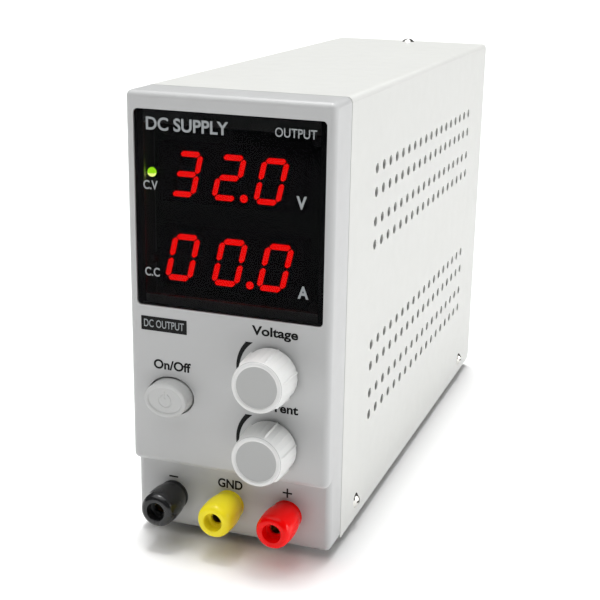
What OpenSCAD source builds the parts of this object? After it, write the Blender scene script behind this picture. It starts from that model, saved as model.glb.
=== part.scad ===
// Bench power supply: a narrow, tall switching supply with one adjustable output.
// A folded steel cover slides over a steel chassis, a moulded bezel closes the front.
// The front carries the display, two knobs, the power button and three binding posts;
// the rear carries the fan, the voltage selector and the mains inlet with its fuse drawer.
// Units are millimetres. X is the width, Y runs from the front to the rear, Z is up.

/* [Case] */
// Width over the cover
case_width = 75; // [74:1:84]
// Height of the case without the feet
case_height = 160; // [158:1:170]
// Depth from the front face of the bezel to the rear panel
case_depth = 228; // [222:1:250]
// Thickness of the cover sheet
cover_sheet = 1; // [0.8:0.1:1.2]
// Thickness of the chassis sheet
chassis_sheet = 1.2; // [1:0.1:1.4]
// Outside radius of the folds of the cover
fold_radius = 2; // [1.5:0.1:3]
// Height of the rubber feet
foot_height = 4; // [3:0.5:6]

/* [Vents] */
// Holes in one vent row
vent_columns = 18; // [12:1:18]
// Distance between holes in a row
vent_pitch = 8.7; // [8:0.1:9]
// Diameter of one vent hole
vent_diameter = 3.8; // [3:0.1:3.8]

/* [Bezel] */
// Depth of the bezel
bezel_depth = 16; // [15:0.5:16]
// Wall thickness of the bezel
bezel_wall = 2.5; // [2.2:0.1:2.8]
// Radius of the front edges of the bezel
bezel_radius = 2.2; // [1:0.1:2.5]
// Height of the recessed band that carries the posts
step_height = 26; // [24:0.5:28]
// How far that band is set back
step_depth = 4; // [3:0.5:4]

/* [Display] */
// Width of the window
window_width = 68.6; // [66:0.1:69]
// Height of the window
window_height = 68.4; // [66:0.1:69.4]
// Height of the centre of the window
window_z = 119.7; // [119:0.1:121]
// Height of a voltage digit
voltage_digit_height = 15.8; // [13:0.1:17]
// Height of a current digit
current_digit_height = 16.8; // [13:0.1:17.4]
// Lean of the digits in degrees
digit_lean = 13; // [0:0.5:14]

/* [Controls] */
// Length of a knob in front of the bezel
knob_length = 14.3; // [13:0.1:16]
// Diameter of a knob at its base
knob_diameter = 19.5; // [18:0.1:21]
// Diameter of a knob at its face
knob_face_diameter = 17.9; // [16:0.1:18]
// Distance of the knobs from the middle of the front
knob_x = 16.4; // [15:0.1:20]
// Height of the voltage knob
voltage_knob_z = 66.2; // [65:0.1:68]
// Height of the current knob
current_knob_z = 39.5; // [38:0.1:41]
// Width of the power button
button_width = 16.7; // [15:0.1:17]
// Height of the power button
button_height = 13.2; // [11:0.1:14]
// How far the power button stands out
button_proud = 5.2; // [4:0.1:6]

/* [Posts] */
// Distance between binding posts
post_pitch = 22.2; // [20:0.1:23]
// Height of the binding posts
post_z = 12; // [11.5:0.1:13]
// Length of a post from the recessed band to its front
post_length = 15.4; // [14:0.1:16]
// Largest diameter of a post cap
post_diameter = 13.2; // [12:0.1:14]
// Diameter of the test plug socket
socket_diameter = 4.06; // [4:0.02:4.2]

/* [Rear] */
// Side of the fan frame
fan_size = 60; // [60:1:60]
// Depth of the fan frame
fan_depth = 20; // [15:1:20]
// Height of the fan axis
fan_z = 118; // [112:1:120]
// Height of the mains inlet
inlet_z = 38; // [36:1:40]
// Height of the voltage selector
selector_z = 68; // [66:1:70]

/* [Output] */
// Sub-part to draw, or all of them

/* [Hidden] */
$fn = 64;
eps = 0.01;
rear_proud = 3.9;
front_y = -(case_depth + rear_proud - knob_length) / 2;
half_width = case_width / 2;
cover_gap = 0.4;
cover_front = bezel_depth + cover_gap;
inner_half = half_width - cover_sheet;
chassis_half = inner_half - 0.3;
chassis_top = case_height - cover_sheet - 0.5;
rear_inside = case_depth - chassis_sheet;
plate_back = bezel_depth + chassis_sheet;
flange_top = 14;
cover_screw_z = 7;
cover_screw_y = [34.4, 204.4];
top_screw_y = case_depth - 5.4;
vent_first_y = 48;
vent_rows = [131, 122.4, 111.5, 102.9, 64.6, 56.2, 45.3, 36.6];
foot_x = 22;
foot_y = [38, 206];

window_bottom = window_z - window_height / 2;
window_front = 0.3;
window_thick = 2;
window_radius = 1.4;
ledge_depth = 4;
ledge_half = 32;
ledge_bottom = 89;
ledge_top = 149;
boss_radius = 2.4;
boss_x = half_width - bezel_wall - 2.3;
boss_z = [22.5, 79.6, case_height - 7.2];
screw_core = 1.25;

board_thick = 1.6;
display_board_y = 11.5;
display_board_bottom = 84;
display_board_top = 149;
module_front = 4.5;
module_left = -27.3;
module_right = 25.7;
module_height = 20;
voltage_row_z = 132.2;
current_row_z = 102.8;
voltage_digit_x = [-17.8, -1.7, 13.5];
current_digit_x = [-18.7, -1.1, 15.6];
voltage_point_x = 4.1;
current_point_x = 6.4;
point_rise = 1.2;
point_radius = 1.35;
segment_proud = 0.35;
segment_ratio = 0.118;
digit_ratio = 0.63;
lamp_x = -29.8;
cv_lamp_z = 131.9;
cc_lamp_z = 101.4;
lamp_radius = 1.65;
display_screw_x = 27.5;
display_screw_z = [87.5, 145.9];

shaft_radius = 3;
shaft_front = -10.5;
bushing_radius = 3.5;
bushing_front = 10;
pot_radius = 8;
pot_depth = 9;
shaft_end = plate_back + 3;
nut_thick = 2;
knob_gap = 0.8;
rib_radius = 0.5;
rib_sink = 0.2;
groove_sink = 0.38;
knob_positions = [voltage_knob_z, current_knob_z];
button_x = -21.8;
button_z = 52.6;
button_gap = 0.55;
oval_steps = 96;
stem_radius = 2.5;
pin_radius = 1.5;
stem_end = plate_back - 3.2;
switch_front = plate_back + 0.3;
switch_depth = 10;
control_board_y = plate_back + pot_depth + 1.2;

post_x = [-post_pitch - 1, -1, post_pitch - 1];
stud_radius = 2.8;
post_front = step_depth - post_length;
cap_bore = 3.4;
stud_sunk = 5.2;
stud_front = post_front + stud_sunk;
stud_end = 15.2;
socket_depth = 14;
collar_radius = 5.7;
collar_front = step_depth - 1.1;
washer_thick = 0.8;
washer_front = collar_front - 0.1 - washer_thick;
cap_back = washer_front - 0.1;
post_nut_thick = 2.4;
lug_thick = 0.8;
first_nut = step_depth + bezel_wall;

main_board_z = 7.2;
main_top = main_board_z + board_thick;
main_half = 32;
main_front = 38;
main_rear = 196;
main_screw_x = 28;
main_screw_y = [44, 190];
transformer_x = -3;
transformer_y = 122;
coil_radius = 14;
sink_height = 66;
sink_plate = 3;
fan_half = fan_size / 2;
fan_bore = fan_half - 1.5;
fan_screw = fan_half - 5;
fan_front = rear_inside - fan_depth;
inlet_half = 13.7;
inlet_floor = inlet_z - 16;
inlet_top = inlet_z + 16;
inlet_flange = 2.4;
inlet_deep = 25;
inlet_screw_x = 20;
drawer_z = inlet_floor + 6;
cavity_z = inlet_top - 12;
selector_screw_x = 14.5;

// ---- helpers ----

// Moves a sub-part from case coordinates (front face, case floor) to the model origin
module in_case() {
  translate([0, front_y, foot_height]) children();
}

// Cylinder along Y from y0 to y1
module rod_y(x, z, y0, y1, r) {
  translate([x, y0, z]) rotate([-90, 0, 0]) cylinder(h = y1 - y0, r = r);
}

// Cylinder along X from x0 to x1
module rod_x(y, z, x0, x1, r) {
  translate([x0, y, z]) rotate([0, 90, 0]) cylinder(h = x1 - x0, r = r);
}

// Block given by its limits
module block(x0, x1, y0, y1, z0, z1) {
  translate([x0, y0, z0]) cube([x1 - x0, y1 - y0, z1 - z0]);
}

// Flat shape drawn in X and Z, given depth along Y from y0 to y1
module plate_y(y0, y1) {
  translate([0, y1, 0]) rotate([90, 0, 0]) linear_extrude(y1 - y0) children();
}

// Round profile (radius, depth) turned about the Y axis
module turned_y(x, z) {
  translate([x, 0, z]) rotate([-90, 0, 0]) rotate_extrude() children();
}

// Hexagon prism along Y across the flats
module hex_y(x, z, y0, y1, flats) {
  translate([x, y0, z]) rotate([-90, 0, 0])
    cylinder(h = y1 - y0, r = flats / sqrt(3), $fn = 6);
}

// Rectangle with round corners, centred
module round_rect(w, h, r) {
  square([w - 2 * r, h], center = true);
  square([w, h - 2 * r], center = true);
  for (sx = [-1, 1], sz = [-1, 1])
    translate([sx * (w / 2 - r), sz * (h / 2 - r)]) circle(r = r);
}

// Outline of the folded cover, open at the bottom
module fold_outline(w, h, r) {
  translate([-w / 2, 0]) square([w, h - r]);
  translate([-w / 2 + r, 0]) square([w - 2 * r, h]);
  for (s = [-1, 1]) translate([s * (w / 2 - r), h - r]) circle(r = r);
}

// Block whose front face has rounded edges and corners
module soft_front(w, y0, y1, z0, z1, r) {
  a = w / 2 - r;
  block(-a, a, y0, y1, z0 + r, z1 - r);
  block(-a - r, a + r, y0 + r, y1, z0 + r, z1 - r);
  block(-a, a, y0 + r, y1, z0, z1);
  for (s = [-1, 1]) translate([s * a, y0 + r, z0 + r]) cylinder(h = z1 - z0 - 2 * r, r = r);
  for (z = [z0 + r, z1 - r]) rod_x(y0 + r, z, -a, a, r);
  for (s = [-1, 1], z = [z0 + r, z1 - r]) {
    rod_y(s * a, z, y0 + r, y1, r);
    translate([s * a, y0 + r, z]) sphere(r = r);
  }
}

// Oval outline, half width a and half height b
module oval(a, b) {
  polygon([for (i = [0 : oval_steps - 1])
    [a * cos(i * 360 / oval_steps), b * sin(i * 360 / oval_steps)]]);
}

// Screw with a domed cross head; the axis is +Z, the seat is at z = 0
module cross_screw(head_r, head_h, shank_r, shank_l) {
  difference() {
    union() {
      intersection() {
        dome = (head_r * head_r + head_h * head_h) / (2 * head_h);
        translate([0, 0, head_h - dome]) sphere(r = dome);
        cylinder(h = head_h + 1, r = head_r);
      }
      translate([0, 0, -shank_l]) cylinder(h = shank_l + eps, r = shank_r);
    }
    for (a = [0, 90])
      rotate([0, 0, a])
        translate([-head_r * 0.62, -head_r * 0.13, head_h * 0.35])
          cube([head_r * 1.24, head_r * 0.26, head_h]);
  }
}

// Tube with eight sides along a list of points
module lead(path, r) {
  sides = 8;
  n = len(path);
  ring = function (i)
    let (a = path[max(i - 1, 0)], b = path[min(i + 1, n - 1)],
      d = (b - a) / norm(b - a),
      ref = abs(d[0]) > 0.8 ? [0, 0, 1] : [1, 0, 0],
      u0 = cross(d, ref), u = u0 / norm(u0), v = cross(d, u))
    [for (k = [0 : sides - 1]) path[i] + r * (cos(k * 360 / sides) * u + sin(k * 360 / sides) * v)];
  points = [for (i = [0 : n - 1]) each ring(i)];
  walls = [for (i = [0 : n - 2], k = [0 : sides - 1])
    let (m = (k + 1) % sides)
    [i * sides + k, i * sides + m, (i + 1) * sides + m, (i + 1) * sides + k]];
  first = [for (k = [sides - 1 : -1 : 0]) k];
  last = [for (k = [0 : sides - 1]) (n - 1) * sides + k];
  polyhedron(points, concat([first], walls, [last]));
}

// ---- case ----

// Folded steel floor, front plate and rear panel
module chassis() {
  color([0.78, 0.79, 0.78]) in_case() difference() {
    union() {
      block(-chassis_half, chassis_half, bezel_depth, case_depth, 0, chassis_sheet);
      block(-chassis_half, chassis_half, bezel_depth, plate_back, 0, chassis_top);
      block(-chassis_half, chassis_half, rear_inside, case_depth, 0, chassis_top);
      block(-20, 20, case_depth - 14, case_depth, chassis_top - chassis_sheet, chassis_top);
      for (s = [-1, 1])
        translate([s * (chassis_half - chassis_sheet / 2), 0, 0])
          block(-chassis_sheet / 2, chassis_sheet / 2, 22, case_depth - 6, 0, flange_top);
    }
    front_plate_cuts();
    rear_panel_cuts();
    for (x = [-foot_x, foot_x], y = foot_y)
      translate([x, y, -1]) cylinder(h = chassis_sheet + 2, r = 2.5);
    for (y = cover_screw_y)
      rod_x(y, cover_screw_z, -half_width, half_width, screw_core);
    translate([0, top_screw_y, chassis_top - 3]) cylinder(h = 5, r = screw_core);
    for (x = [-main_screw_x, main_screw_x], y = main_screw_y)
      translate([x, y, -1]) cylinder(h = chassis_sheet + 2, r = screw_core);
  }
}

// Openings of the front plate of the chassis
module front_plate_cuts() {
  y0 = bezel_depth - 1;
  y1 = plate_back + 1;
  for (z = knob_positions) rod_y(knob_x, z, y0, y1, bushing_radius + 0.1);
  rod_y(button_x, button_z, y0, y1, stem_radius + 0.6);
  for (s = [-1, 1], z = boss_z) rod_y(s * boss_x, z, y0, y1, screw_core);
  for (s = [-1, 1], z = display_screw_z)
    rod_y(s * display_screw_x, z, y0, y1, screw_core);
  block(-27, 25, y0, y1, post_z - 9, post_z + 7);
  block(-24, 24, y0, y1, 92, 142);
}

// Openings of the rear panel
module rear_panel_cuts() {
  y0 = rear_inside - 1;
  y1 = case_depth + 1;
  rod_y(0, fan_z, y0, y1, fan_bore);
  for (sx = [-1, 1], sz = [-1, 1])
    rod_y(sx * fan_screw, fan_z + sz * fan_screw, y0, y1, 2.1);
  block(-inlet_half - 0.1, inlet_half + 0.1, y0, y1, inlet_floor - 0.1, inlet_top + 0.1);
  for (s = [-1, 1]) rod_y(s * inlet_screw_x, inlet_z, y0, y1, screw_core);
  block(-11.1, 11.1, y0, y1, selector_z - 5.6, selector_z + 5.6);
  for (s = [-1, 1]) rod_y(s * selector_screw_x, selector_z, y0, y1, screw_core);
}

// Folded cover with the vent fields
module cover() {
  color([0.9, 0.9, 0.88]) in_case() difference() {
    plate_y(cover_front, case_depth) difference() {
      fold_outline(case_width, case_height, fold_radius);
      translate([0, -eps])
        fold_outline(case_width - 2 * cover_sheet, case_height - cover_sheet + eps,
          fold_radius - cover_sheet);
    }
    for (z = vent_rows, i = [0 : vent_columns - 1])
      rod_x(vent_first_y + i * vent_pitch, z, -half_width - 1, half_width + 1,
        vent_diameter / 2);
    for (y = cover_screw_y)
      rod_x(y, cover_screw_z, -half_width - 1, half_width + 1, 1.7);
    translate([0, top_screw_y, case_height - 3]) cylinder(h = 5, r = 1.7);
    difference() {
      block(-half_width - 1, half_width + 1, case_depth - 3, case_depth + 1, -1, 3);
      rod_x(case_depth - 3, 3, -half_width - 2, half_width + 2, 3);
    }
  }
}

// Moulded front frame with the recessed band for the posts
module front_bezel() {
  color([0.86, 0.87, 0.86]) in_case() difference() {
    union() {
      difference() {
        union() {
          soft_front(case_width, 0, bezel_depth, step_height, case_height, bezel_radius);
          soft_front(case_width, step_depth, bezel_depth, 0, step_height + 12, bezel_radius);
        }
        bezel_cavity();
      }
      for (s = [-1, 1], z = boss_z)
        rod_y(s * boss_x, z, (z < step_height ? step_depth : 0) + bezel_wall - 0.5,
          bezel_depth, boss_radius);
    }
    plate_y(-1, window_front + window_thick) translate([0, window_z])
      round_rect(window_width + 0.3, window_height + 0.3, window_radius + 0.15);
    plate_y(-1, ledge_depth + 1) translate([0, (ledge_bottom + ledge_top) / 2])
      square([2 * ledge_half, ledge_top - ledge_bottom], center = true);
    for (z = knob_positions) rod_y(knob_x, z, -1, bezel_wall + 1, 4);
    plate_y(-1, bezel_wall + 1) translate([button_x, button_z])
      oval(button_width / 2 + button_gap, button_height / 2 + button_gap);
    for (x = post_x) rod_y(x, post_z, step_depth - 1, first_nut + 1, 4.6);
    for (s = [-1, 1], z = boss_z)
      rod_y(s * boss_x, z, step_depth + 4, bezel_depth + 1, screw_core - 0.15);
  }
}

// Space inside the front frame
module bezel_cavity() {
  a = half_width - bezel_wall;
  back = bezel_depth + 1;
  top = case_height - bezel_wall;
  block(-a, a, bezel_wall, back, step_height + bezel_wall, window_bottom - 2.5);
  block(-a, a, ledge_depth, back, window_bottom - 3, top);
  block(-a, a, step_depth + bezel_wall, back, bezel_wall, step_height + bezel_wall + 1);
}

// Smoked window over the display
module display_window() {
  color([0.05, 0.05, 0.06, 0.8]) in_case()
    plate_y(window_front, window_front + window_thick) translate([0, window_z])
      round_rect(window_width, window_height, window_radius);
}

// Push-in rubber feet under the floor
module feet() {
  color([0.12, 0.12, 0.12]) in_case()
    for (x = [-foot_x, foot_x], y = foot_y) translate([x, y, 0]) {
      translate([0, 0, -foot_height]) cylinder(h = foot_height, r1 = 5.4, r2 = 6);
      cylinder(h = chassis_sheet, r = 2.4);
      translate([0, 0, chassis_sheet]) cylinder(h = 2.4, r1 = 3.3, r2 = 2.2);
    }
}

// ---- display ----

// Board that holds both digit modules and the two lamps
module display_board() {
  color([0.1, 0.35, 0.2]) in_case() difference() {
    block(-32.2, 32.2, display_board_y, display_board_y + board_thick,
      display_board_bottom, display_board_top);
    for (s = [-1, 1], z = display_screw_z)
      rod_y(s * display_screw_x, z, display_board_y - 1, display_board_y + 3, 1.3);
  }
}

// Body of a three digit module
module digit_module(z) {
  block(module_left, module_right, module_front, display_board_y,
    z - module_height / 2, z + module_height / 2);
}

module voltage_display() {
  color([0.08, 0.08, 0.09]) in_case() digit_module(voltage_row_z);
}

module current_display() {
  color([0.08, 0.08, 0.09]) in_case() digit_module(current_row_z);
}

// Point of a leaning digit; u runs across and v up, both from the digit's middle
function lean(u, v) = [u + v * tan(digit_lean), v];

// Bar of a digit with pointed ends, between two points of the upright digit
module digit_bar(a, b, t) {
  d = (b - a) / norm(b - a);
  n = [-d[1], d[0]];
  g = t * 0.56;
  p = a + d * g * 0.35;
  q = b - d * g * 0.35;
  polygon([for (k = [p, p + (d + n) * t / 2, q + (n - d) * t / 2, q,
    q - (d + n) * t / 2, p + (d - n) * t / 2]) lean(k[0], k[1])]);
}

// One seven segment digit with its middle at x, z
module digit(x, z, h) {
  t = h * segment_ratio;
  w = h * digit_ratio - t;
  k = (h - t) / 2;
  plate_y(module_front - segment_proud, module_front) translate([x, z]) {
    for (v = [-k, 0, k]) digit_bar([-w / 2, v], [w / 2, v], t);
    for (s = [-1, 1]) {
      digit_bar([s * w / 2, -k], [s * w / 2, 0], t);
      digit_bar([s * w / 2, 0], [s * w / 2, k], t);
    }
  }
}

// Lit bars and point of the voltage row
module voltage_segments() {
  color([0.95, 0.1, 0.08]) in_case() {
    for (x = voltage_digit_x) digit(x, voltage_row_z, voltage_digit_height);
    rod_y(voltage_point_x, voltage_row_z - voltage_digit_height / 2 + point_rise,
      module_front - segment_proud, module_front, point_radius);
  }
}

// Lit bars and point of the current row
module current_segments() {
  color([0.95, 0.1, 0.08]) in_case() {
    for (x = current_digit_x) digit(x, current_row_z, current_digit_height);
    rod_y(current_point_x, current_row_z - current_digit_height / 2 + point_rise,
      module_front - segment_proud, module_front, point_radius);
  }
}

// Small lamp with a round front, seated on the display board
module lamp(z) {
  tip = module_front - 0.2;
  rod_y(lamp_x, z, tip, display_board_y, lamp_radius);
  translate([lamp_x, tip, z]) sphere(r = lamp_radius);
  rod_y(lamp_x, z, display_board_y - 1, display_board_y, lamp_radius + 0.3);
}

module cv_lamp() {
  color([0.3, 0.9, 0.2]) in_case() lamp(cv_lamp_z);
}

module cc_lamp() {
  color([0.3, 0.05, 0.05]) in_case() lamp(cc_lamp_z);
}

// ---- controls ----

// Board behind the front plate that carries the power switch
module control_board() {
  color([0.1, 0.35, 0.2]) in_case() difference() {
    block(-31, 28, control_board_y, control_board_y + board_thick, 28, 78);
    for (z = knob_positions) rod_y(knob_x, z, control_board_y - 1, control_board_y + 3, 3);
  }
}

// Oval cap with a raised rim and the engraved on and off sign, flange and stem
module power_button() {
  a = button_width / 2;
  b = button_height / 2;
  y0 = -button_proud;
  seat = bezel_wall + 0.4;
  color([0.88, 0.89, 0.88]) in_case() {
    translate([button_x, 0, button_z]) {
      difference() {
        union() {
          plate_y(y0 + 0.6, seat) oval(a, b);
          plate_y(y0, y0 + 0.6 + eps) oval(a - 0.4, b - 0.4);
        }
        plate_y(y0 - 1, y0 + 0.3) oval(a - 1.3, b - 1.2);
        plate_y(y0, y0 + 0.55) power_sign();
      }
      plate_y(seat, seat + 1.2) oval(a + 1.2, b + 1.2);
      rod_y(0, 0, seat + 1.1, stem_end, stem_radius);
      rod_y(0, 0, stem_end - 0.1, switch_front + 4, pin_radius);
    }
  }
}

// Open ring with an upright bar
module power_sign() {
  difference() {
    circle(r = 2.5);
    circle(r = 1.9);
    translate([-0.8, 0]) square([1.6, 4]);
  }
  translate([-0.3, 0.9]) square([0.6, 2.2]);
}

// Push switch on the control board
module power_switch() {
  color([0.15, 0.15, 0.16]) in_case() difference() {
    translate([button_x, 0, button_z])
      block(-4.2, 4.2, switch_front, control_board_y, -4.2, 4.2);
    rod_y(button_x, button_z, switch_front - 1, switch_front + 8.5, pin_radius + 0.3);
  }
}

// Shaft of a potentiometer with a flat at its front
module pot_shaft(z) {
  difference() {
    rod_y(knob_x, z, shaft_front, shaft_end, shaft_radius);
    block(knob_x - 4, knob_x + 4, shaft_front - 1, 0, z + 1.5, z + 4);
  }
}

module voltage_shaft() {
  color([0.75, 0.75, 0.72]) in_case() pot_shaft(voltage_knob_z);
}

module current_shaft() {
  color([0.75, 0.75, 0.72]) in_case() pot_shaft(current_knob_z);
}

// Potentiometer body with its threaded neck
module pot_body(z) {
  difference() {
    union() {
      rod_y(knob_x, z, bushing_front, plate_back + 1, bushing_radius);
      rod_y(knob_x, z, plate_back, plate_back + pot_depth, pot_radius);
      block(knob_x - 6, knob_x + 6, plate_back + 2, plate_back + 5, z - 11, z);
    }
    rod_y(knob_x, z, bushing_front - 1, shaft_end + 0.3, shaft_radius + 0.06);
  }
}

module voltage_pot() {
  color([0.55, 0.56, 0.55]) in_case() pot_body(voltage_knob_z);
}

module current_pot() {
  color([0.55, 0.56, 0.55]) in_case() pot_body(current_knob_z);
}

// Nuts that hold the potentiometers to the front plate
module pot_nuts() {
  color([0.78, 0.78, 0.76]) in_case() for (z = knob_positions) difference() {
    hex_y(knob_x, z, bezel_depth - nut_thick, bezel_depth, 10);
    rod_y(knob_x, z, bezel_depth - nut_thick - 1, bezel_depth + 1, bushing_radius);
  }
}

// Tapered ribbed knob with a bore for the flatted shaft
module knob(z) {
  rb = knob_diameter / 2;
  rf = knob_face_diameter / 2;
  edge = 0.8;
  taper = atan((rb - rf) / (knob_length - knob_gap));
  difference() {
    union() {
      turned_y(knob_x, z)
        polygon([[0, -knob_length], [rf - edge, -knob_length],
          [rf - edge * 0.3, -knob_length + edge * 0.3], [rf, -knob_length + edge],
          [rb, -knob_gap], [0, -knob_gap]]);
      for (i = [0 : 23])
        translate([knob_x, -knob_gap, z]) rotate([0, i * 15 + 8, 0])
          translate([rb - (i % 4 == 0 ? rib_sink : groove_sink), 0, 0])
            rotate([90, 0, 0]) rotate([0, -taper, 0])
              cylinder(h = knob_length - knob_gap - 1.2, r = rib_radius);
    }
    difference() {
      rod_y(knob_x, z, shaft_front - 0.5, 1, shaft_radius + 0.02);
      block(knob_x - 4, knob_x + 4, shaft_front - 1, 1, z + 1.52, z + 4);
    }
    difference() {
      rod_y(knob_x, z, -4, 1, 7.6);
      rod_y(knob_x, z, -5, 2, 4.6);
    }
  }
}

module voltage_knob() {
  color([0.88, 0.89, 0.88]) in_case() knob(voltage_knob_z);
}

module current_knob() {
  color([0.88, 0.89, 0.88]) in_case() knob(current_knob_z);
}

// ---- binding posts ----

// Barrel cap that screws down on the stud, open at the front for a test plug
module post_cap(x) {
  r = post_diameter / 2;
  l = cap_back - post_front;
  difference() {
    turned_y(x, post_z)
      polygon([[0, cap_back], [r - 0.9, cap_back], [r - 0.7, cap_back - 0.3],
        [r - 0.4, cap_back - 0.14 * l], [r - 0.15, cap_back - 0.3 * l],
        [r, cap_back - 0.5 * l], [r - 0.05, cap_back - 0.7 * l],
        [r - 0.25, cap_back - 0.84 * l], [r - 0.7, cap_back - 0.93 * l],
        [r - 1.4, cap_back - 0.985 * l], [r - 2.2, post_front], [0, post_front]]);
    rod_y(x, post_z, post_front - 1, cap_back + 1, cap_bore);
  }
}

// Clamp ring between the cap and the collar
module post_washer(x) {
  difference() {
    rod_y(x, post_z, washer_front, washer_front + washer_thick, collar_radius - 0.1);
    rod_y(x, post_z, washer_front - 1, washer_front + 2, stud_radius + 0.1);
  }
}

// Threaded stud with the plug socket in its front end
module post_stud(x) {
  difference() {
    rod_y(x, post_z, stud_front, stud_end, stud_radius);
    rod_y(x, post_z, stud_front - 1, stud_front + socket_depth, socket_diameter / 2);
  }
}

// Collar that keeps the stud clear of the front
module post_collar(x) {
  difference() {
    union() {
      rod_y(x, post_z, collar_front, step_depth, collar_radius);
      rod_y(x, post_z, step_depth - eps, first_nut, 4.5);
    }
    rod_y(x, post_z, collar_front - 1, first_nut + 1, stud_radius);
  }
}

module negative_cap() {
  color([0.1, 0.1, 0.1]) in_case() post_cap(post_x[0]);
}

module negative_washer() {
  color([0.1, 0.1, 0.1]) in_case() post_washer(post_x[0]);
}

module negative_stud() {
  color([0.8, 0.7, 0.4]) in_case() post_stud(post_x[0]);
}

module negative_collar() {
  color([0.1, 0.1, 0.1]) in_case() post_collar(post_x[0]);
}

module ground_cap() {
  color([0.92, 0.85, 0.1]) in_case() post_cap(post_x[1]);
}

module ground_washer() {
  color([0.92, 0.85, 0.1]) in_case() post_washer(post_x[1]);
}

module ground_stud() {
  color([0.8, 0.7, 0.4]) in_case() post_stud(post_x[1]);
}

module ground_collar() {
  color([0.92, 0.85, 0.1]) in_case() post_collar(post_x[1]);
}

module positive_cap() {
  color([0.9, 0.05, 0.05]) in_case() post_cap(post_x[2]);
}

module positive_washer() {
  color([0.9, 0.05, 0.05]) in_case() post_washer(post_x[2]);
}

module positive_stud() {
  color([0.8, 0.7, 0.4]) in_case() post_stud(post_x[2]);
}

module positive_collar() {
  color([0.9, 0.05, 0.05]) in_case() post_collar(post_x[2]);
}

// Nuts on both sides of each solder lug
module post_nuts() {
  lug = first_nut + post_nut_thick;
  color([0.78, 0.78, 0.76]) in_case()
    for (x = post_x, y = [first_nut, lug + lug_thick]) difference() {
      hex_y(x, post_z, y, y + post_nut_thick, 9);
      rod_y(x, post_z, y - 1, y + post_nut_thick + 1, stud_radius);
    }
}

// Ring tags that take the output leads
module solder_lugs() {
  y0 = first_nut + post_nut_thick;
  color([0.8, 0.78, 0.7]) in_case() for (x = post_x) difference() {
    union() {
      rod_y(x, post_z, y0, y0 + lug_thick, 4.6);
      block(x - 1.6, x + 1.6, y0, y0 + lug_thick, post_z - 8, post_z);
    }
    rod_y(x, post_z, y0 - 1, y0 + 2, stud_radius);
  }
}

// ---- fasteners ----

// Case screws: two low on each side and one on top at the rear
module cover_screws() {
  color([0.8, 0.8, 0.79]) in_case() {
    for (s = [-1, 1], y = cover_screw_y)
      translate([s * half_width, y, cover_screw_z]) rotate([0, s * 90, 0])
        cross_screw(2.9, 1.5, 1.25, 6);
    translate([0, top_screw_y, case_height]) cross_screw(2.9, 1.5, 1.25, 5);
  }
}

// Screws from the front plate into the bosses of the bezel
module bezel_screws() {
  color([0.78, 0.78, 0.76]) in_case()
    for (s = [-1, 1], z = boss_z)
      translate([s * boss_x, plate_back, z]) rotate([-90, 0, 0])
        cross_screw(2.2, 1.4, screw_core - 0.15, plate_back - step_depth - 5);
}

// Hexagon spacers under the main board and behind the display board
module board_standoffs() {
  color([0.8, 0.75, 0.45]) in_case() {
    for (x = [-main_screw_x, main_screw_x], y = main_screw_y) translate([x, y, 0])
      difference() {
        translate([0, 0, chassis_sheet])
          cylinder(h = main_board_z - chassis_sheet, r = 3.2, $fn = 6);
        cylinder(h = main_board_z + 1, r = screw_core);
      }
    for (s = [-1, 1], z = display_screw_z) difference() {
      hex_y(s * display_screw_x, z, display_board_y + board_thick, bezel_depth, 5);
      rod_y(s * display_screw_x, z, display_board_y, bezel_depth + 1, screw_core);
    }
  }
}

// Screws that hold the two boards to their spacers
module board_screws() {
  color([0.78, 0.78, 0.76]) in_case() {
    for (x = [-main_screw_x, main_screw_x], y = main_screw_y)
      translate([x, y, main_top]) cross_screw(2.4, 1.5, screw_core, main_top - 0.2);
    for (s = [-1, 1], z = display_screw_z)
      translate([s * display_screw_x, display_board_y, z]) rotate([90, 0, 0])
        cross_screw(2.4, 1.5, screw_core, plate_back - display_board_y);
  }
}

// Screws of the fan, the inlet and the voltage selector
module rear_screws() {
  color([0.78, 0.78, 0.76]) in_case() {
    for (sx = [-1, 1], sz = [-1, 1])
      translate([sx * fan_screw, case_depth + 1.6, fan_z + sz * fan_screw])
        rotate([-90, 0, 0]) cross_screw(3.4, 2.2, 1.95, 12);
    for (s = [-1, 1])
      translate([s * inlet_screw_x, case_depth + inlet_flange, inlet_z])
        rotate([-90, 0, 0]) cross_screw(2.6, 1.5, screw_core, 7);
    for (s = [-1, 1])
      translate([s * selector_screw_x, case_depth + 1.2, selector_z])
        rotate([-90, 0, 0]) cross_screw(2.4, 1.4, screw_core, 5);
  }
}

// ---- power stage ----

// Main board, drilled for its screws
module main_board() {
  color([0.12, 0.4, 0.22]) in_case() difference() {
    block(-main_half, main_half, main_front, main_rear, main_board_z, main_top);
    for (x = [-main_screw_x, main_screw_x], y = main_screw_y)
      translate([x, y, main_board_z - 1]) cylinder(h = 4, r = 1.3);
  }
}

// Ferrite core with a middle leg and two windows
module transformer_core() {
  color([0.2, 0.2, 0.22]) in_case() translate([transformer_x, transformer_y, main_top])
    difference() {
      block(-21, 21, -8, 8, 0, 42);
      for (s = [-1, 1]) translate([s * 10.5, 0, 0]) block(-4.5, 4.5, -9, 9, 7, 35);
    }
}

// Coil on the middle leg
module transformer_winding() {
  color([0.85, 0.7, 0.2]) in_case() translate([transformer_x, transformer_y, main_top])
    difference() {
      translate([0, 0, 7.4]) cylinder(h = 27.2, r = coil_radius);
      block(-6.2, 6.2, -8.2, 8.2, 7, 36);
    }
}

// Round can standing on the main board
module can(x, y, r, h) {
  translate([x, y, main_top]) cylinder(h = h, r = r);
  translate([x, y, main_top + h]) cylinder(h = 0.8, r1 = r, r2 = r - 0.8);
}

// Two large capacitors on the mains side
module bulk_capacitors() {
  color([0.15, 0.2, 0.35]) in_case() for (x = [-14, 9]) can(x, 160, 10.5, 38);
}

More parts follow.
